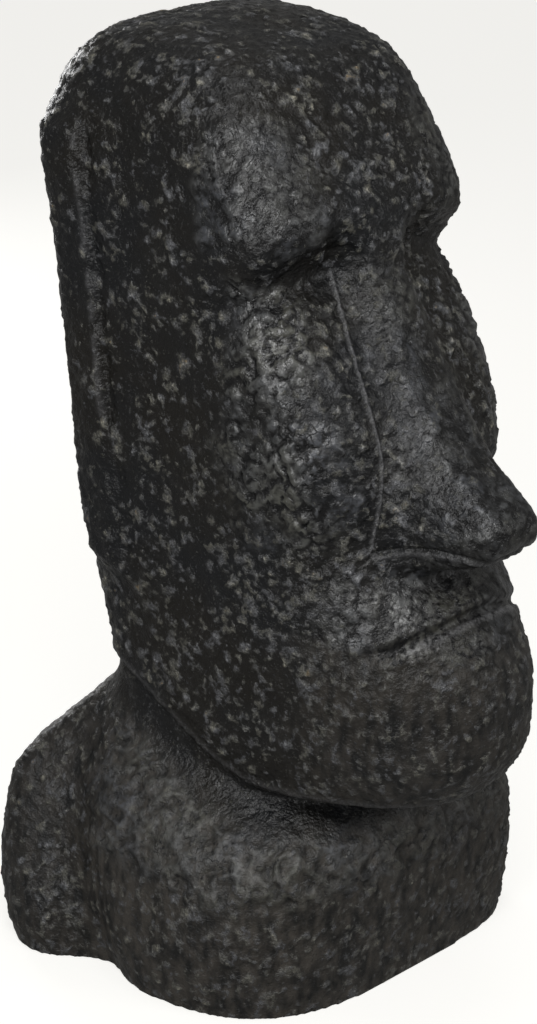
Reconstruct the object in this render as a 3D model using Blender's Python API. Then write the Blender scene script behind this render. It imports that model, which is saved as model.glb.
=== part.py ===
"""Stone head statue on its own shoulders: one closed casting, facing -Y, standing on Z = 0.

The whole figure is one loft. A ring of columns goes round the figure on a squared
ellipse whose width, front, back and squareness are profiles of the height; the rows are
bent so that they follow the jaw line and the drooping brow. Nose, mouth, ears, chest
valley and arm lobes are then raised or sunk on that skin by their own named sizes.
"""
import math

import bmesh
import bpy

# ---------------------------------------------------------------- driving dimensions (m)
HEIGHT = 0.595

# named heights of the features on the centre line
Z_CREASE = 0.140        # where the jaw sits down on the chest
Z_MOUTH = 0.268
Z_EYE = 0.465
Z_BROW = 0.497

# profiles: (height, value) stations, joined by a monotone smooth curve
HALF_WIDTH = (
    (0.000, 0.131), (0.012, 0.134), (0.040, 0.137), (0.070, 0.134), (0.100, 0.123),
    (0.120, 0.104), (Z_CREASE, 0.086), (0.148, 0.089), (0.175, 0.092), (0.300, 0.094),
    (0.450, 0.094), (Z_BROW, 0.096), (0.530, 0.095), (0.548, 0.093), (0.565, 0.088),
    (0.578, 0.079), (0.587, 0.067), (0.592, 0.047), (HEIGHT, 0.0))
FRONT = (
    # chest, in to the throat
    (0.000, -0.114), (0.050, -0.120), (0.085, -0.123), (0.115, -0.117), (0.138, -0.105),
    # chin
    (0.142, -0.138), (0.146, -0.165), (0.152, -0.178), (0.164, -0.190), (0.185, -0.199),
    (0.215, -0.199), (0.240, -0.192), (Z_MOUTH, -0.175),
    # upper lip, in to the nose
    (0.276, -0.167), (0.288, -0.155), (0.300, -0.147), (0.314, -0.141),
    # cheek, in to the eye
    (0.343, -0.142), (0.371, -0.136), (0.405, -0.120), (0.435, -0.102), (0.455, -0.090),
    (Z_EYE, -0.082),
    # brow, forehead and crown
    (0.474, -0.084), (Z_BROW, -0.098), (0.527, -0.084), (0.548, -0.073), (0.569, -0.060),
    (0.580, -0.044), (0.588, -0.012), (0.593, 0.016), (HEIGHT, 0.032))
BACK = (
    # shoulders, in to the neck
    (0.000, 0.127), (0.012, 0.132), (0.040, 0.137), (0.080, 0.138), (0.100, 0.130),
    (0.120, 0.093), (Z_CREASE, 0.063), (0.155, 0.063),
    # back of the head and crown
    (0.190, 0.077), (0.240, 0.083), (0.300, 0.086), (0.380, 0.091), (0.460, 0.101),
    (0.520, 0.109), (0.548, 0.108), (0.569, 0.101), (0.582, 0.090), (0.588, 0.077),
    (0.593, 0.052), (HEIGHT, 0.032))
MIDDLE = (              # y of the ear's front edge, where front and back halves meet
    (0.000, 0.015), (0.150, 0.015), (0.240, 0.019), (0.540, 0.050), (HEIGHT, 0.032))
SQUARE_FRONT = (        # 2 is an ellipse, large is a box
    (0.000, 3.0), (0.110, 2.9), (0.142, 2.25), (0.170, 2.35), (0.210, 2.45), (0.250, 2.65),
    (0.290, 3.1), (0.350, 4.3), (0.450, 6.0), (0.500, 6.5), (0.550, 4.2), (HEIGHT, 3.0))
SQUARE_BACK = (
    (0.000, 4.2), (0.120, 4.2), (0.200, 3.5), (0.500, 4.0), (0.560, 3.0), (HEIGHT, 2.4))

# rows bent out of level
JAW_RISE = 0.060        # how much higher the jaw crease is behind than in front
JAW_RISE_FROM, JAW_RISE_TO = -0.083, 0.070
BROW_DROOP = 0.014      # centre to corner
BROW_WRAP = 0.024       # a further drop where the brow runs back along the temple
TEMPLE_HOLLOW = 0.0060  # how deep the eye hollow still is where it turns onto the temple
TEMPLE_HOLLOW_HALF = 0.012

# nose
Z_NOSE_BASE = 0.294
NOSE_RIDGE = (
    (Z_NOSE_BASE, -0.150), (0.298, -0.165), (0.303, -0.186), (0.311, -0.199), (0.322, -0.207),
    (0.333, -0.204), (0.348, -0.187), (0.363, -0.168), (0.382, -0.153), (0.402, -0.138),
    (0.435, -0.119), (0.465, -0.105), (Z_BROW, -0.099))
NOSE_HALF = (
    (Z_NOSE_BASE, 0.039), (0.308, 0.040), (0.335, 0.038), (0.360, 0.035), (0.400, 0.030),
    (0.450, 0.025), (0.475, 0.028), (Z_BROW, 0.038))
NOSE_FLAT = 0.42        # share of the half-width that is ridge before the wall falls away

# mouth: a shallow line with a slightly raised lower edge
MOUTH_HALF = 0.074
MOUTH_DROOP = 0.022
MOUTH_DEPTH = 0.0040
MOUTH_EDGE = 0.0020
LIP_OUT = 0.0050        # upper lip pad, proud of the cheek beside it
MOUTH_WIDTH = 0.0032
MOUTH_BEND = 0.032      # height over which the rows bend to follow the mouth

# ears: long slabs low on the side of the head, a rib in front, a knob on top
EAR_TOP, EAR_BOTTOM = 0.540, 0.240
EAR_LINE = ((0.240, 0.038), (0.540, 0.070))
EAR_HALF = 0.017
EAR_OUT = 0.008
EAR_FLARE = 0.05        # the slab thickens by this much, either way from its middle, to the back
EAR_EDGE = 0.004
EAR_BED = 0.0045        # the temple swells by this much as it comes up to the ear
EAR_BED_RUN = 0.045
EAR_GROOVE = 0.001
KNOB_OUT = 0.005
KNOB_RADIUS = 0.022

# valley between the chest lobe and the arm lobe
VALLEY_LINE = ((0.0, 0.036), (0.030, 0.044), (0.080, 0.064), (0.130, 0.074))
VALLEY_DEPTH = 0.016
VALLEY_WIDTH = 0.026
VALLEY_TOP = 0.150
ARM_OUT = 0.017
TORSO_SHIFT = 0.010     # the shoulders sit a little towards the figure's left
TORSO_CORNER = 2.0      # its left chest corner is squarer than its right by this much

# the ring of columns and the stack of rows
FRONT_COLUMNS = 26
BACK_COLUMNS = 7
SIDE_STOPS = (          # front corner (-1) through the ear's front edge (0) to the back (1)
    -1.00, -0.90, -0.79, -0.68, -0.56, -0.45, -0.34, -0.24, -0.16, -0.10, -0.055, -0.02,
    0.03, 0.12, 0.25, 0.38, 0.50, 0.62, 0.75, 0.88)
CENTRE_CROWDING = 0.45  # below 1 draws the front columns towards the nose
ROW_BREAKS = (          # (height, number of rows up to it)
    (0.012, 1), (0.090, 3), (0.130, 4), (0.138, 2), (0.152, 3), (0.185, 3), (0.240, 3),
    (0.258, 2), (0.276, 6), (0.294, 2), (0.316, 5), (0.348, 4), (0.435, 6), (0.455, 2),
    (0.474, 4), (0.497, 3), (0.530, 3), (0.569, 5), (0.587, 4), (0.593, 2))


def smooth(stations, z):
    """Monotone cubic through the stations, flat beyond the ends."""
    if z <= stations[0][0]:
        return stations[0][1]
    if z >= stations[-1][0]:
        return stations[-1][1]
    i = max(k for k in range(len(stations) - 1) if stations[k][0] <= z)

    def slope(k):
        return (stations[k + 1][1] - stations[k][1]) / (stations[k + 1][0] - stations[k][0])

    def tangent(k):
        if k == 0 or k == len(stations) - 1:
            return slope(0 if k == 0 else k - 1)
        a, b = slope(k - 1), slope(k)
        return 0.0 if a * b <= 0 else 2 * a * b / (a + b)

    (z0, v0), (z1, v1) = stations[i], stations[i + 1]
    h = z1 - z0
    u = (z - z0) / h
    return ((2 * u ** 3 - 3 * u * u + 1) * v0 + (u ** 3 - 2 * u * u + u) * h * tangent(i)
            + (3 * u * u - 2 * u ** 3) * v1 + (u ** 3 - u * u) * h * tangent(i + 1))


def step(edge0, edge1, x):
    """Smooth 0 to 1 between two edges, in either order."""
    u = min(1.0, max(0.0, (x - edge0) / (edge1 - edge0)))
    return u * u * (3 - 2 * u)


def bell(x, centre, width):
    """Smooth bump of height 1."""
    return math.exp(-((x - centre) / width) ** 2)


def ring():
    """Column directions on the boundary of a square: (a across, b towards the back)."""
    out = []
    for i in range(FRONT_COLUMNS):
        s = -1 + 2 * i / FRONT_COLUMNS
        out.append((s * (CENTRE_CROWDING + (1 - CENTRE_CROWDING) * s * s), -1.0))
    out += [(1.0, b) for b in SIDE_STOPS]
    out += [(1 - 2 * i / BACK_COLUMNS, 1.0) for i in range(BACK_COLUMNS)]
    return out + [(-1.0, b) for b in (1.0,) + SIDE_STOPS[:0:-1]]


def rows():
    """Nominal heights of the rows, closest where the form turns fastest."""
    out, low = [], 0.0
    for high, count in ROW_BREAKS:
        out += [low + (high - low) * i / count for i in range(count)]
        low = high
    return out + [low]


def skin(a, b, z):
    """Point of the figure on column (a, b) in the row of nominal height z."""
    low = step(VALLEY_TOP, VALLEY_TOP - 0.04, z)
    square = smooth(SQUARE_FRONT if b < 0 else SQUARE_BACK, z)
    if b < 0:
        square += TORSO_CORNER * low * step(0.0, 1.0, a)
    reach = (abs(a) ** square + abs(b) ** square) ** (-1 / square)
    middle = smooth(MIDDLE, z)
    depth = middle - smooth(FRONT, z) if b < 0 else smooth(BACK, z) - middle
    x = smooth(HALF_WIDTH, z) * a * reach + TORSO_SHIFT * low
    y = middle + depth * b * reach
    side = step(0.55, 0.95, abs(a) * reach)
    out = math.copysign(1, a)

    # torso: arm lobe behind, valley between it and the chest
    valley = smooth(VALLEY_LINE, z)
    x += out * side * low * ARM_OUT * step(valley - 0.02, valley + 0.04, y)
    x -= out * side * low * VALLEY_DEPTH * bell(y, valley, VALLEY_WIDTH)

    # the eye hollow runs on round the corner and fades along the temple
    hollow = bell(z, Z_EYE, TEMPLE_HOLLOW_HALF) * step(-0.032, -0.062, y)
    x -= out * side * TEMPLE_HOLLOW * hollow

    # ear slab with its knob, and the groove in front of it
    line = smooth(EAR_LINE, z)
    tall = (step(EAR_BOTTOM - EAR_EDGE, EAR_BOTTOM + EAR_EDGE, z)
            * step(EAR_TOP + EAR_EDGE, EAR_TOP - EAR_EDGE, z))
    slab = step(EAR_HALF + EAR_EDGE, EAR_HALF - EAR_EDGE / 2, abs(y - line))
    slab *= 1 + EAR_FLARE * max(-1.0, min(1.0, (y - line) / EAR_HALF))
    knob = bell(math.hypot(y - line, z - EAR_TOP + KNOB_RADIUS * 0.8), 0, KNOB_RADIUS)
    cover = tall * slab
    bed = (step(EAR_BOTTOM - 0.03, EAR_BOTTOM + 0.03, z) * step(EAR_TOP + 0.03, EAR_TOP - 0.03, z)
           * step(line - EAR_HALF - EAR_BED_RUN, line - EAR_HALF - EAR_EDGE, y)
           * step(line + EAR_HALF, line - EAR_HALF, y))
    groove = bell(y, line - EAR_HALF - EAR_EDGE * 1.6, EAR_EDGE) * tall
    x += out * side * (cover * EAR_OUT + (1 - cover) * bed * EAR_BED + knob * KNOB_OUT - groove * EAR_GROOVE)

    if b < 0 and abs(a) < 0.999:
        # nose: from the face skin out to the ridge line
        ridge, half = smooth(NOSE_RIDGE, z), smooth(NOSE_HALF, z)
        if Z_NOSE_BASE <= z <= Z_BROW and ridge < y:
            y += (ridge - y) * step(half * 1.15, half * NOSE_FLAT, abs(x))
        # upper lip pad, mouth line and its raised lower edge
        fade = step(MOUTH_HALF, MOUTH_HALF - 0.012, abs(x))
        y -= fade * LIP_OUT * step(0.304, 0.282, z) * step(Z_MOUTH - 0.001, Z_MOUTH + 0.006, z)
        y += fade * MOUTH_DEPTH * bell(z, Z_MOUTH, MOUTH_WIDTH)
        y -= fade * MOUTH_EDGE * bell(z, Z_MOUTH - 1.9 * MOUTH_WIDTH, MOUTH_WIDTH)

    # rows follow the jaw line, the mouth and the brow
    rise = JAW_RISE * step(JAW_RISE_FROM, JAW_RISE_TO, y)
    jaw = min(1.0, z / Z_CREASE) ** 3 * step(0.320, 0.165, z)
    forward = step(-0.010, -0.075, y)
    droop = BROW_DROOP * min(1.0, (x / 0.085) ** 2) + BROW_WRAP * (1 - forward)
    brow = step(0.380, Z_EYE, z) * step(0.560, Z_BROW, z) * step(0.045, -0.020, y)
    lips = MOUTH_DROOP * min(1.0, (x / MOUTH_HALF) ** 2) * step(-0.02, -0.09, y)
    return x, y, z + rise * jaw - droop * brow - lips * bell(z, Z_MOUTH, MOUTH_BEND)


def build(collection):
    columns, levels = ring(), rows()
    bm = bmesh.new()
    grid = [[bm.verts.new(skin(a, b, z)) for a, b in columns] for z in levels]
    for vert in grid[0]:
        vert.co.z = 0.0
    n = len(columns)
    for lower, upper in zip(grid, grid[1:]):
        for i in range(n):
            bm.faces.new((lower[i], lower[(i + 1) % n], upper[(i + 1) % n], upper[i]))
    crown = bm.verts.new((0.0, smooth(BACK, HEIGHT), HEIGHT))
    for i in range(n):
        bm.faces.new((grid[-1][i], grid[-1][(i + 1) % n], crown))
    bm.faces.new(list(reversed(grid[0])))
    bmesh.ops.recalc_face_normals(bm, faces=bm.faces)
    bmesh.ops.triangulate(bm, faces=bm.faces)
    mesh = bpy.data.meshes.new("moai_statue")
    bm.to_mesh(mesh)
    bm.free()
    mesh.shade_smooth()
    statue = bpy.data.objects.new("moai_statue", mesh)
    collection.objects.link(statue)
    return statue


def material():
    stone = bpy.data.materials.new("black_cast_stone")
    stone.use_nodes = True
    shader = stone.node_tree.nodes["Principled BSDF"]
    shader.inputs["Base Color"].default_value = (0.022, 0.022, 0.024, 1.0)
    shader.inputs["Roughness"].default_value = 0.5
    shader.inputs["Metallic"].default_value = 0.0
    return stone


for leftover in list(bpy.data.objects):
    bpy.data.objects.remove(leftover, do_unlink=True)
group = bpy.data.collections.new("moai_head_statue")
bpy.context.scene.collection.children.link(group)
figure = build(group)
figure.data.materials.append(material())
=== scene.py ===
# %% [markdown]
# # A moai head in black cast stone
# The object is a garden or shelf statue, about 60 cm tall: a long stone head with a heavy
# brow, a long nose, slab ears and low shoulders. It is one casting. The frame already
# holds its true form as a plain solid; this lesson gives that form its cast and hammered
# surface, its stone finish, and a small studio.

# %% Load the frame
import math

import bmesh
import bpy
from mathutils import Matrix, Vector, kdtree, noise
from mathutils.bvhtree import BVHTree


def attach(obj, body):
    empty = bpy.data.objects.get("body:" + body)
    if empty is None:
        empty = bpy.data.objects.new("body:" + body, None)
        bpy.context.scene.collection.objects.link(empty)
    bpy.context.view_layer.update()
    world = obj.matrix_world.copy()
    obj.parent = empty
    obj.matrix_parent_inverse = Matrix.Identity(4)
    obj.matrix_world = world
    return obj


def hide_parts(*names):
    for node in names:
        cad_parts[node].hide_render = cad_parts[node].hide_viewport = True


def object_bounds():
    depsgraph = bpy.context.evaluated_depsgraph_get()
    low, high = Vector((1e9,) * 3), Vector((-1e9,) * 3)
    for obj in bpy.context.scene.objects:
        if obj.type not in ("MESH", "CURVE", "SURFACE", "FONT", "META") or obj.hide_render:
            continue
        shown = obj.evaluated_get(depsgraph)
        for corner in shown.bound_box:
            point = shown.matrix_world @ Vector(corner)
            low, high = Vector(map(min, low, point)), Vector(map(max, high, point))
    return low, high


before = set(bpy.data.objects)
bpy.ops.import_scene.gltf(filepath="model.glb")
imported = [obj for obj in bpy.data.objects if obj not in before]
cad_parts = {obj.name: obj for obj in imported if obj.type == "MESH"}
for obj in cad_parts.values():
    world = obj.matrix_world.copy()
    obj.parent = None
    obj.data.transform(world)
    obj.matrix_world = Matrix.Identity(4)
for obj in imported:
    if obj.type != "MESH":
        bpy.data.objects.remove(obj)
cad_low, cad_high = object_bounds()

MM = 0.001
NODE = "moai_statue"
bpy.ops.object.select_all(action="DESELECT")
print("frame loaded, statue is", round((cad_high.z - cad_low.z) / MM), "mm tall")

# %% [markdown]
# ## The studio
# The statue is nearly black, so light matters more than colour: what is seen of it is the
# satin sheen on whatever faces the lamp. A pale floor keeps the outline crisp, and it is
# kept out of the bounced light, because a white floor would fill the shadows that give
# the face its strength. The camera looks down a little from the figure's right.

# %% Camera
AIM = Vector((0.004, -0.002, 0.284))
CAMERA_AT = Vector((-1.205, -1.169, 0.929))
VIEW_ANGLE = math.radians(20)


def towards(place, target):
    """Turns -Z of something at place to face target."""
    return (target - place).to_track_quat("-Z", "Y").to_euler()


bpy.ops.object.camera_add(location=CAMERA_AT, rotation=towards(CAMERA_AT, AIM))
camera = bpy.context.object
camera.data.lens = camera.data.sensor_width / 2 / math.tan(VIEW_ANGLE / 2)
camera.data.clip_start = 0.05
camera.data.clip_end = 50
bpy.context.scene.camera = camera
print("lens", round(camera.data.lens, 1), "mm")

# %% Floor
bpy.ops.mesh.primitive_plane_add(size=30, location=(0, 0, 0))
floor = bpy.context.object
floor.name = "studio_floor"
floor.visible_diffuse = False
floor.visible_glossy = False


# %% [markdown]
# ## Helpers for materials
# Colours are picked as hex values, the way a paint chart gives them, and turned to the
# linear numbers that a shader works in. One small function adds any node.

# %% Colour and node helpers
def linear(hex_colour):
    """sRGB hex such as '8a8778' to a linear RGBA tuple."""
    parts = [int(hex_colour[i:i + 2], 16) / 255 for i in (0, 2, 4)]
    return tuple(c / 12.92 if c <= 0.04045 else ((c + 0.055) / 1.055) ** 2.4 for c in parts) + (1,)


def add_node(tree, kind, inputs=(), **settings):
    """Adds a node; inputs maps a socket's name or number to a value or to another socket."""
    node = tree.nodes.new(kind)
    for key, value in settings.items():
        setattr(node, key, value)
    for key, value in dict(inputs).items():
        if isinstance(value, bpy.types.NodeSocket):
            tree.links.new(value, node.inputs[key])
        else:
            node.inputs[key].default_value = value
    return node


# %% Floor paint
def floor_paint():
    """Matt off-white board."""
    material = bpy.data.materials.new("matt_white_board")
    material.use_nodes = True
    shader = material.node_tree.nodes["Principled BSDF"]
    shader.inputs["Base Color"].default_value = linear("a8a8a6")
    shader.inputs["Emission Color"].default_value = linear("f2f1ee")
    shader.inputs["Emission Strength"].default_value = 0.86
    shader.inputs["Roughness"].default_value = 0.9
    shader.inputs["Specular IOR Level"].default_value = 0.1
    return material


floor.data.materials.append(floor_paint())

# %% Lamps
LAMPS = {
    # name: (azimuth, elevation, distance m, size m, power W)
    "key": (-42, 40, 1.8, 0.6, 12),
    "side": (-72, 14, 1.8, 0.6, 8),
    "front": (16, 22, 1.8, 0.6, 4),
    "top": (0, 85, 1.8, 0.8, 5),
    "back": (165, 10, 1.8, 0.6, 7),
}


def lamp(name, azimuth, elevation, distance, size, power):
    """Adds a round lamp that faces the statue."""
    a, e = math.radians(azimuth), math.radians(elevation)
    direction = Vector((math.sin(a) * math.cos(e), -math.cos(a) * math.cos(e), math.sin(e)))
    place = AIM + distance * direction
    bpy.ops.object.light_add(type="AREA", location=place, rotation=towards(place, AIM))
    light = bpy.context.object
    light.name = name
    light.data.shape = "DISK"
    light.data.size = size
    light.data.energy = power


for name, numbers in LAMPS.items():
    lamp(name, *numbers)

# %% Surroundings
ROOM_LIGHT = 0.26       # how bright the room is for the statue
ROOM_SEEN = 0.95        # how bright it is for the camera
world = bpy.data.worlds.new("studio_room")
bpy.context.scene.world = world
world.use_nodes = True
bpy.context.scene.view_settings.view_transform = "Standard"
room = world.node_tree
background = room.nodes["Background"]
background.inputs["Color"].default_value = linear("f2f1ee")
seen = add_node(room, "ShaderNodeLightPath")
strength = add_node(room, "ShaderNodeMapRange", {"Value": seen.outputs["Is Camera Ray"],
                                                 "To Min": ROOM_LIGHT, "To Max": ROOM_SEEN})
room.links.new(strength.outputs["Result"], background.inputs["Strength"])

# %% [markdown]
# ## The body of the casting
# The frame's solid is a faceted loft. A real casting has no facets, so a copy is merged,
# turned back to quads and subdivided into a smooth form. The underside is taken off first
# and closed again flat, which keeps its edge crisp. That form is then remeshed to an even
# net of small faces, because hammered lumps need the same fineness everywhere, and the
# net is drawn back onto the smooth form, which restores the crisp ears and lips.

# %% Modifiers and pairs of triangles
SHARPEST_FOLD = math.radians(60)


def activate(ob):
    bpy.ops.object.select_all(action="DESELECT")
    ob.select_set(True)
    bpy.context.view_layer.objects.active = ob


def finish_modifier(ob, kind, **settings):
    """Adds a modifier, sets it and applies it."""
    activate(ob)
    bpy.ops.object.modifier_add(type=kind)
    modifier = ob.modifiers[-1]
    for key, value in settings.items():
        setattr(modifier, key, value)
    bpy.ops.object.modifier_apply(modifier=modifier.name)


def pair_triangles(ob):
    """Dissolves diagonals, squarest pair first, in an order that is the same each time."""
    bm = bmesh.new()
    bm.from_mesh(ob.data)
    pairs = []
    for edge in bm.edges:
        if len(edge.link_faces) != 2 or edge.calc_face_angle() > SHARPEST_FOLD:
            continue
        tips = [v.co for face in edge.link_faces for v in face.verts if v not in edge.verts]
        ends = [v.co for v in edge.verts]
        corners = [tips[0], ends[0], tips[1], ends[1]]
        skew = 0.0
        for i, corner in enumerate(corners):
            one, other = corners[i - 1] - corner, corners[(i + 1) % 4] - corner
            skew += abs(one.normalized().dot(other.normalized()))
        middle = (ends[0] + ends[1]) / 2
        pairs.append((round(skew, 3), *(round(c, 5) for c in middle), edge))
    pairs.sort(key=lambda pair: pair[:4])
    used, diagonals = set(), []
    for *_, edge in pairs:
        faces = set(edge.link_faces)
        if not faces & used:
            used |= faces
            diagonals.append(edge)
    bmesh.ops.dissolve_edges(bm, edges=diagonals, use_verts=False)
    bm.to_mesh(ob.data)
    bm.free()


# %% Smooth copy of the solid
def copied(ob, name):
    """A copy of ob with a mesh of its own, linked to the scene."""
    twin = ob.copy()
    twin.data = ob.data.copy()
    twin.name = name
    bpy.context.scene.collection.objects.link(twin)
    return twin


smooth_form = copied(bpy.data.objects[NODE], "smooth_form")
activate(smooth_form)
bpy.ops.object.mode_set(mode="EDIT")
bpy.ops.mesh.select_all(action="SELECT")
bpy.ops.mesh.remove_doubles(threshold=0.01 * MM)
bpy.ops.mesh.select_mode(type="FACE")
bpy.ops.mesh.select_all(action="DESELECT")
bpy.ops.object.mode_set(mode="OBJECT")
pair_triangles(smooth_form)
for face in smooth_form.data.polygons:
    face.select = face.normal.z < -0.9 and face.center.z < 1 * MM
bpy.ops.object.mode_set(mode="EDIT")
bpy.ops.mesh.delete(type="FACE")
bpy.ops.object.mode_set(mode="OBJECT")
finish_modifier(smooth_form, "SUBSURF", levels=2, render_levels=2)
bpy.ops.object.mode_set(mode="EDIT")
bpy.ops.mesh.select_all(action="SELECT")
bpy.ops.mesh.fill_holes(sides=0)
bpy.ops.object.mode_set(mode="OBJECT")
print("smooth form:", len(smooth_form.data.polygons), "faces")

# %% Even net of faces
VOXEL = 2.3 * MM
statue = copied(smooth_form, "moai_head_cast")
finish_modifier(statue, "REMESH", mode="VOXEL", voxel_size=VOXEL)
finish_modifier(statue, "SHRINKWRAP", target=smooth_form, wrap_method="NEAREST_SURFACEPOINT")
finish_modifier(statue, "SMOOTH", factor=0.5, iterations=1)
print("even net:", len(statue.data.polygons), "faces")

# %% [markdown]
# ## Lines drawn on the surface
# Some marks follow a line: the mould seam beside the nose, the mouth, the edge under the
# nostrils and the rib along each ear. Each line is given by a few points and is snapped
# onto the form, so it lies in the surface whatever the form does there.

# %% Drawing lines
LINE_STEP = 1.0 * MM
surface = BVHTree.FromObject(smooth_form, bpy.context.evaluated_depsgraph_get())


def drawn_line(points):
    """Lookup tree of places every millimetre along points, snapped to the smooth form."""
    points = [Vector(point) for point in points]
    places = []
    for start, end in zip(points, points[1:]):
        count = max(1, int((end - start).length / LINE_STEP))
        places += [surface.find_nearest(start.lerp(end, i / count))[0] for i in range(count)]
    tree = kdtree.KDTree(len(places))
    for i, place in enumerate(places):
        tree.insert(place, i)
    tree.balance()
    return tree


def curve(function, start, end, count=40):
    """Points of a function of one number, evenly spaced from start to end."""
    return [function(start + (end - start) * i / count) for i in range(count + 1)]


# %% The seam, the mouth, the nostril wings and the ears
SEAM = ((-0.030, -0.085, 0.462), (-0.036, -0.105, 0.432), (-0.041, -0.123, 0.397),
        (-0.042, -0.134, 0.362), (-0.046, -0.137, 0.336), (-0.050, -0.135, 0.308))
WING = ((0.044, -0.138, 0.309), (0.040, -0.150, 0.312), (0.033, -0.168, 0.314),
        (0.026, -0.184, 0.313), (0.012, -0.199, 0.311), (0.000, -0.202, 0.310))
MOUTH_HALF = 0.072          # half the mouth's width
MOUTH_FRONT = -0.18         # y of a place in front of the lips
MOUTH_TOP = 0.268           # height of its middle
MOUTH_DROOP = 0.022         # how far it drops, at DROOP_AT from the middle
DROOP_AT = 0.074
EAR_SIDE = 0.104            # x of an ear's front edge
EAR_FOOT = (0.030, 0.312)   # y and z of its lower end
EAR_LEAN = 0.099            # how far it goes back for each unit it rises
EAR_RIB = (0.365, 0.534)    # heights between which the rib runs


def mouth_height(x):
    return MOUTH_TOP - MOUTH_DROOP * (x / DROOP_AT) ** 2


def mouth_point(x):
    return (x, MOUTH_FRONT, mouth_height(x))


def ear_front(side):
    """The front edge of one ear, as a function of height; side is -1 or 1."""
    def point(z):
        return (side * EAR_SIDE, EAR_FOOT[0] + (z - EAR_FOOT[1]) * EAR_LEAN, z)
    return point


seam = drawn_line(SEAM)
mouth = drawn_line(curve(mouth_point, -MOUTH_HALF, MOUTH_HALF))
wings = drawn_line([(-x, y, z) for x, y, z in WING[:-1]] + list(WING[::-1]))
ears = [drawn_line(curve(ear_front(side), *EAR_RIB)) for side in (-1, 1)]

# %% Finer net along the lines
FINE_REACH = 5 * MM
bm = bmesh.new()
bm.from_mesh(statue.data)
fine = {v for v in bm.verts
        if any(line.find(v.co)[2] < FINE_REACH for line in (seam, mouth, wings))}
edges = [e for e in bm.edges if e.verts[0] in fine and e.verts[1] in fine]
bmesh.ops.subdivide_edges(bm, edges=edges, cuts=1, use_grid_fill=True)
bm.to_mesh(statue.data)
bm.free()
print("with fine lines:", len(statue.data.polygons), "faces")

# %% [markdown]
# ## The hammered surface
# The mould was taken from a surface that was tooled all over. It has broad dents, fine
# hammer marks, and separate lumps of 5 to 8 mm in loose clusters. The cheeks, the brow,
# the nose and the lip are cobbled, with creases between stones of about 10 mm. The chest
# has folds. The chin, the lip and the shoulders are rubbed smoother. All of it is worked
# out for each point of the net from noise in real millimetres, and five of the values
# are kept on the mesh, so that the stone's colour and sheen follow its relief.

# %% Noise in millimetres
PATTERN = 3
noise.seed_set(PATTERN)     # without it, noise_vector differs from run to run


def step(edge0, edge1, x):
    """0 before edge0 and 1 after edge1, with a soft rise between them."""
    u = min(1.0, max(0.0, (x - edge0) / (edge1 - edge0)))
    return u * u * (3 - 2 * u)


def within(value, low, high, soft):
    """1 between low and high, fading to 0 over soft outside them."""
    return step(low - soft, low, value) * step(high + soft, high, value)


def peak(value, middle, width):
    """1 where value is middle, falling away to both sides."""
    return math.exp(-((value - middle) / width) ** 2)


def swell(place, size):
    """Soft noise from -1 to 1 whose lumps are about size across."""
    return noise.noise(place / size)


def warped(place, size, amount):
    """The place moved a little by noise, so that cells lose their straight edges."""
    return place + noise.noise_vector(place / size) * amount


def cells(place, size):
    """Distance to a cell's centre and to its border, in cell units, and the cell's own number."""
    distances, centres = noise.voronoi(place / size)
    return distances[0], distances[1] - distances[0], noise.cell(centres[0])


# %% Where each kind of surface lies
# lower and upper heights
CHEEK = (0.325, 0.450)
NOSE = (0.305, 0.485)
LIP = (0.254, 0.292)
BROW = (0.492, 0.545)
FACE = (0.275, 0.450)
EYES = (0.450, 0.485)


def jaw_crease(y):
    """Height of the crease under the jaw; it climbs towards the back."""
    return 0.140 + 0.060 * step(-0.083, 0.070, y)


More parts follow.
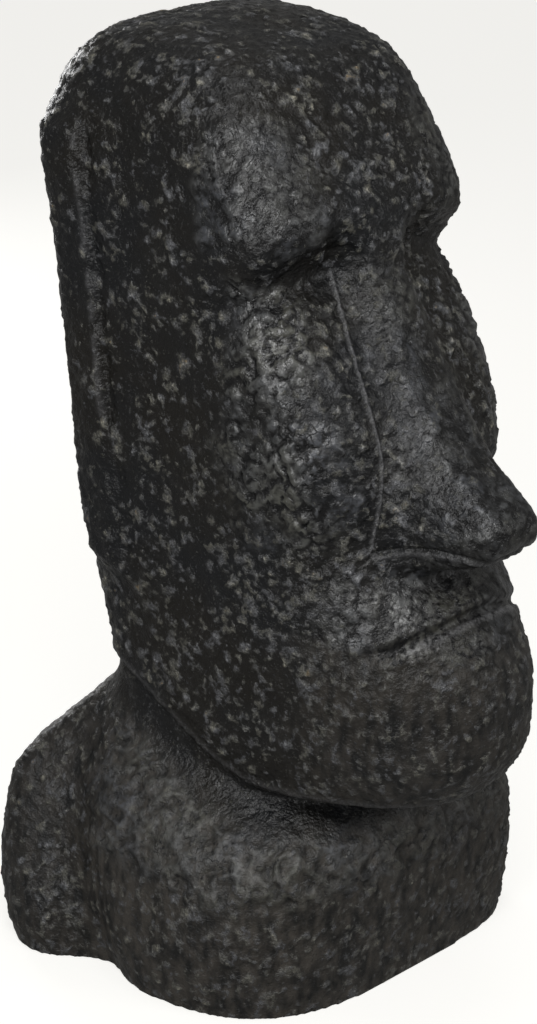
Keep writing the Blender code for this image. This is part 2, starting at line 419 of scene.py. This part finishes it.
def regions(place, normal):
    """How cobbled, crowded with lumps, rubbed smooth, dusty, folded and bold a place is; the band
    under the jaw without dust, and the eye hollows and ears with fewer lumps, are painted shade.
    """
    crease = jaw_crease(place.y)
    head = step(crease - 0.002, crease + 0.006, place.z)
    # the band just under the jaw crease is painted shade: it gets no dust and no chest plates or
    # folds
    painted_jaw_shade = step(crease - 0.026, crease - 0.012, place.z)
    place = warped(place, 22 * MM, 12 * MM)
    across = abs(place.x)
    front = step(0.15, 0.6, -normal.y)

    cheek = (within(place.z, *CHEEK, 0.02) * step(0.054, 0.074, across)
             * step(-0.048, -0.064, place.y))
    nose = (within(place.z, *NOSE, 0.02) * step(0.036, 0.028, across)
            * step(-0.095, -0.110, place.y))
    lip = (within(place.z, *LIP, 0.008) * step(0.085, 0.070, across)
           * step(-0.105, -0.125, place.y))
    brow = (within(place.z, *BROW, 0.015) * step(0.040, 0.060, across)
            * step(-0.030, -0.045, place.y))
    lobe = ((1 - head) * (1 - painted_jaw_shade) * step(0.070, 0.090, place.z)
            * step(0.06, 0.02, place.y))
    gaps = step(-0.30, 0.05, swell(place, 24 * MM))
    tip = nose * step(0.370, 0.345, place.z)
    # the plates are cobbled relief, and the material gives them a painted sheen of lighter grey
    plates = max(cheek * (0.3 + 0.7 * gaps), 0.5 * nose * gaps, 0.6 * tip, 0.75 * lip,
                 0.6 * brow, 0.3 * lobe)

    face = step(-0.03, -0.06, place.y) * within(place.z, *FACE, 0.02)
    hollow = (within(place.z, *EYES, 0.01) * step(-0.03, -0.06, place.y)
              * step(0.025, 0.035, across))
    ear = step(0.094, 0.098, across) * head
    crown = step(0.52, 0.56, place.z)
    # fewer lumps, so fewer pale flecks, in the eye hollows and on the ears: painted shade there
    crowding = max(0.62 - 0.10 * crown, 0.80 * face) - 0.35 * max(hollow, ear)

    chin = head * step(0.262, 0.250, place.z) * step(-0.08, -0.13, place.y)
    shoulder = step(0.02, 0.06, place.y)
    # no dust in the band under the jaw, which leaves it dark as painted shade
    dusty = max(0.5 * chin, (0.8 - 0.35 * shoulder) * (1 - head) * (1 - painted_jaw_shade))
    rubbed = max(0.5 * chin, 0.4 * (1 - head), 0.9 * lip, 0.5 * nose, 0.9 * tip, 0.4 * brow)
    return plates, crowding, rubbed, dusty, lobe, 0.7 + 0.3 * front


# %% The relief itself
COBBLE_SIZE = 10 * MM
LUMP_SIZES = ((8 * MM, -0.1), (5 * MM, 0.0))    # with how much commoner each one is
# heights in mm
HAMMER_RISE, FOLD_RISE, COBBLE_RISE, LUMP_RISE = 1.4, 2.2, 2.8, 1.6


def relief(place, normal):
    """Height in mm along the normal, and the shares of cobble, of painted shade in the crevices, of
    lump and of dust; the cobble share also carries a painted sheen.
    """
    plates, crowding, rubbed, dusty, lobe, bold = regions(place, normal)
    dents = 0.8 * swell(place, 45 * MM) + 0.6 * swell(place + Vector((1, 2, 3)), 18 * MM)

    # cobbles: irregular stones with creases between them, here and there run together
    bent = warped(warped(place, 16 * MM, 6 * MM), 5 * MM, 1.6 * MM)
    _, border, number = cells(bent, COBBLE_SIZE)
    joined = 0.6 * step(0.0, 0.3, swell(place + Vector((5, 0, 0)), 12 * MM))
    cobbled = max(step(0.0, 0.24, border), joined) * (0.5 + 0.5 * abs(number))
    cobble = cobbled * plates * (1 - 0.35 * rubbed)
    # the creases between cobbles, which the material darkens as painted shade
    crevice = plates * step(0.22, 0.04, border) * (1 - joined)

    # lumps: separate ragged grains, in loose clusters
    ragged = warped(warped(place, 9 * MM, 3 * MM), 3 * MM, 1.3 * MM)
    cluster = crowding + 0.4 * swell(place, 24 * MM)
    lump = 0.0
    for size, share in LUMP_SIZES:
        centre, _, number = cells(ragged + Vector((share, 0, 0)), size)
        chosen = step(0.15, -0.15, abs(number) - cluster - share)
        lump = max(lump, step(0.62, 0.20, centre) * chosen)
    lump *= 0.85 + 0.4 * swell(place, 4 * MM)

    # hammer marks everywhere, and folds on the chest
    marked = noise.fractal(place / (6.5 * MM), 1.0, 2.2, 2)
    hammered = HAMMER_RISE * marked * (1 - 0.65 * rubbed) * bold
    fold = lobe * (1 - 2.5 * abs(swell(warped(place, 14 * MM, 6 * MM), 13 * MM)))

    height = (dents + hammered + FOLD_RISE * fold + COBBLE_RISE * cobble * (1 - 0.6 * rubbed)
              + LUMP_RISE * lump * bold * (1 - 0.9 * plates) * (1 - 0.6 * rubbed))
    # the fold tops join the cobble share, so they also take the painted sheen in the material
    cobble = max(cobble, 0.5 * fold)
    return height, cobble, crevice, lump * (1 - 0.7 * plates) * (1 - 0.35 * rubbed), dusty


# %% Marks along the lines
def marks(place):
    """Height in mm of the drawn lines, how pale their ridges are, partly from wear and partly as a
    painted highlight, and how calm the rest is.
    """
    # the pale share on each ridge below is partly wear and partly a painted highlight where the
    # ridge catches the light
    distance = seam.find(place)[2]
    seam_ridge = peak(distance, 0, 1.0 * MM)
    rise = 1.3 * seam_ridge
    worn = 0.65 * seam_ridge
    calm = peak(distance, 0, 4 * MM)

    distance = mouth.find(place)[2]
    if distance < 8 * MM:
        below = mouth_height(place.x) - place.z
        ridge = peak(below, 3.0 * MM, 1.3 * MM)
        rise += 1.2 * ridge - 1.2 * peak(below, 0, 1.2 * MM)
        worn = max(worn, 0.5 * ridge)
        calm = max(calm, peak(distance, 2 * MM, 4 * MM))

    nearest, _, distance = wings.find(place)
    if distance < 6 * MM:
        below = nearest.z - place.z
        edge = peak(below, 3.0 * MM, 1.4 * MM)
        rise += 0.8 * edge - 1.5 * peak(below, 0, 1.2 * MM)
        worn = max(worn, 0.3 * edge)
        calm = max(calm, peak(distance, 0, 4 * MM))

    for ear in ears:
        nearest, _, distance = ear.find(place)
        if distance < 10 * MM:
            broken = step(-0.25, 0.0, swell(place, 14 * MM))
            rib = broken * peak(distance, 0, 1.8 * MM)
            rise += 0.8 * rib - 1.5 * peak(nearest.y - place.y, 6 * MM, 2 * MM)
            worn = max(worn, 0.3 * rib)

    above = place.z - jaw_crease(place.y)
    rim = peak(above, 11 * MM, 2.2 * MM)
    rise += 0.8 * rim - 2.5 * peak(above, 1 * MM, 2 * MM)
    # the pale rim over the jaw crease is a painted highlight on the lit edge of the chin
    worn = max(worn, 0.25 * rim)
    # the calm band under the jaw also halves its dust, lump and cobble shares, more painted shade
    # below the chin
    calm = max(calm, rim, within(above, -22 * MM, 3 * MM, 8 * MM))
    return rise, worn, calm


# %% Carve
INWARD = -1.2           # mm that the whole skin is set in, so that its lumps stay inside the solid
BASE_FREE = 3 * MM      # the relief fades out over this height above the floor
SHARES = ("cobble", "crevice", "lump", "dust", "worn")
mesh = statue.data
moved, found = [], []
for vert in mesh.vertices:
    place, normal = vert.co.copy(), vert.normal.copy()
    height, *shares = relief(place, normal)
    ridge, worn, calm = marks(place)
    found.append([share * (1 - 0.5 * calm) for share in shares] + [worn])
    rise = (height * (1 - 0.6 * calm) + ridge + INWARD) * MM * step(0, BASE_FREE, place.z)
    place += normal * rise
    moved.append([min(max(c, low), high) for c, low, high in zip(place, cad_low, cad_high)])
for vert, place in zip(mesh.vertices, moved):
    vert.co = place
for name, values in zip(SHARES, zip(*found)):
    attribute = mesh.attributes.new(name, "FLOAT", "POINT")
    attribute.data.foreach_set("value", values)
print("carved", len(moved), "points")

# %% Thin the net on the far side
MOST_TRIANGLES = 194000
FACING_AWAY = -0.1


def unseen(vert):
    """Whether the surface at a vertex faces away from the camera."""
    return vert.normal.dot((CAMERA_AT - vert.co).normalized()) < FACING_AWAY


finish_modifier(statue, "TRIANGULATE")
before = len(statue.data.polygons)
far = statue.vertex_groups.new(name="far_side")
far.add([vert.index for vert in statue.data.vertices if unseen(vert)], 1.0, "REPLACE")
if before > MOST_TRIANGLES:
    finish_modifier(statue, "DECIMATE", ratio=MOST_TRIANGLES / before,
                    vertex_group="far_side", vertex_group_factor=1000)
statue.vertex_groups.clear()
for vert in statue.data.vertices:
    vert.co.z = max(vert.co.z, cad_low.z)
activate(statue)
bpy.ops.object.shade_smooth()
bpy.data.objects.remove(smooth_form, do_unlink=True)
print(before, "triangles thinned to", len(statue.data.polygons))


# %% [markdown]
# ## Cast stone, sealed black
# Cast stone is concrete with fine pale aggregate. It is stained black through and sealed,
# which gives a satin skin. Where the skin is rubbed through, on the lumps, grey and cream
# aggregate shows. The pale grey along the seam and the edges is partly such wear and partly
# a painted highlight on the lit ridges. The cobbles carry a painted sheen of lighter grey,
# the crevices between them are painted darkest as painted shade, and cracks in the seal are dark.

# %% Stone material
def black_cast_stone():
    """Black stain, dusty in places, with pale grit on the lumps, a painted sheen on the cobbles,
    painted shade in their crevices, and pale ridges that are partly worn and partly a painted
    highlight.
    """
    material = bpy.data.materials.new("black_cast_stone_sealed")
    material.use_nodes = True
    tree = material.node_tree
    shader = tree.nodes["Principled BSDF"]
    place = add_node(tree, "ShaderNodeTexCoord").outputs["Object"]
    cobble, crevice, lump, dust, worn = (
        add_node(tree, "ShaderNodeAttribute", attribute_name=name).outputs["Fac"]
        for name in SHARES)

    def grain(size, detail=3.0, where=place):
        return add_node(tree, "ShaderNodeTexNoise",
                        {"Vector": where, "Scale": 1 / size, "Detail": detail}).outputs["Fac"]

    def ranged(value, low, high, to_low=0.0, to_high=1.0):
        return add_node(tree, "ShaderNodeMapRange",
                        {"Value": value, "From Min": low, "From Max": high,
                         "To Min": to_low, "To Max": to_high}).outputs["Result"]

    def combined(operation, a, b):
        return add_node(tree, "ShaderNodeMath", {0: a, 1: b}, operation=operation).outputs["Value"]

    def times(a, b):
        return combined("MULTIPLY", a, b)

    def mixed(share, under, over):
        inputs = {"Factor": share, 6: under, 7: over}
        return add_node(tree, "ShaderNodeMix", inputs, data_type="RGBA").outputs[2]

    # flecks: pale grit with ragged edges on the lumps, and a few small ones between them
    islands = grain(2.4 * MM, 4.0)
    frayed = times(combined("SUBTRACT", islands, 0.5), 1.6)
    level = combined("ADD", lump, frayed)
    grit = ranged(grain(1.3 * MM), 0.36, 0.60, 0.35, 1.0)
    strays = times(ranged(islands, 0.61, 0.67), ranged(dust, 1.0, 0.2, 0.3, 1.0))
    fleck = times(combined("MAXIMUM", ranged(level, 0.30, 0.60), strays), grit)
    core = times(ranged(level, 0.80, 1.10), grit)

    # the stain, dusty low down, and a painted sheen of lighter grey on the cobbles and chest folds
    warmth = ranged(grain(60 * MM), 0.40, 0.62)
    tall = add_node(tree, "ShaderNodeMapping", {"Vector": place, "Scale": (1, 1, 0.45)})
    runs = grain(7 * MM, 4.0, tall.outputs["Vector"])
    dusty = mixed(ranged(runs, 0.36, 0.64), linear("171716"), linear("45413c"))
    stain = mixed(dust, mixed(warmth, linear("131416"), linear("181613")), dusty)
    # painted sheen: the lighter grey on the cobbles stands for the satin sheen of the lit plates
    painted_sheen = times(ranged(cobble, 0.05, 0.5), ranged(grain(4 * MM, 4.0), 0.36, 0.60))
    skin = mixed(painted_sheen, stain, mixed(warmth, linear("484a4f"), linear("4c4c45")))

    # the grit, and the pale ridges: partly worn edges, partly a painted highlight
    hue = ranged(grain(11 * MM), 0.42, 0.60)
    grey = mixed(hue, linear("4c4d50"), linear("55544d"))
    pale = mixed(hue, linear("88898c"), linear("9b9788"))
    bright = mixed(ranged(grain(14 * MM, 1.0), 0.64, 0.68), pale, linear("8f7a58"))
    colour = mixed(core, mixed(fleck, skin, grey), bright)
    # wear and painted highlight: pale grey along the seam, the lips, the nostril edges, the ear ribs
    # and the jaw rim
    colour = mixed(times(worn, grit), colour, linear("7c7c7e"))

    # crazing, and painted shade in the crevices between the cobbles
    ripple = add_node(tree, "ShaderNodeTexNoise", {"Vector": place, "Scale": 1 / (5 * MM)})
    bent = add_node(tree, "ShaderNodeVectorMath",
                    {0: ripple.outputs["Color"], 1: (7 * MM,) * 3, 2: place},
                    operation="MULTIPLY_ADD")
    web = add_node(tree, "ShaderNodeTexVoronoi",
                   {"Vector": bent.outputs["Vector"], "Scale": 1 / (9 * MM)},
                   feature="DISTANCE_TO_EDGE").outputs["Distance"]
    crack = times(times(ranged(web, 0.06, 0.0), ranged(cobble, 0.15, 0.45)),
                  ranged(grain(14 * MM), 0.48, 0.60))
    # painted shade: crevices near black, and the cracks dark too
    crevice_shading = ranged(combined("ADD", crevice, frayed), 0.15, 0.55)
    colour = mixed(combined("MAXIMUM", crack, crevice_shading), colour, linear("0e0e0f"))
    tree.links.new(colour, shader.inputs["Base Color"])

    # pits stay matt, tops are polished by the seal
    top = combined("MAXIMUM", ranged(cobble, 0.0, 0.5), lump)
    tree.links.new(ranged(top, 0.0, 1.0, 0.33, 0.75), shader.inputs["Specular IOR Level"])
    rough = combined("ADD", ranged(grain(3 * MM), 0.3, 0.7, 0.26, 0.42), times(dust, 0.2))
    tree.links.new(rough, shader.inputs["Roughness"])

    # relief too fine for the net
    pitted = combined("ADD", times(grain(4 * MM, 2.0), 1.6), times(grain(1.4 * MM), 0.6))
    rise = combined("SUBTRACT", combined("ADD", times(fleck, 0.5), pitted), crack)
    soft = ranged(cobble, 0.1, 0.5, 1.0, 0.5)
    fine = add_node(tree, "ShaderNodeBump", {"Height": rise, "Strength": soft, "Distance": 0.8 * MM})
    tree.links.new(fine.outputs["Normal"], shader.inputs["Normal"])
    return material


statue.data.materials.clear()
statue.data.materials.append(black_cast_stone())
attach(statue, "root")
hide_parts(NODE)

# %% Sizes, and the end
print("cad", [round(v, 4) for v in (*cad_low, *cad_high)])
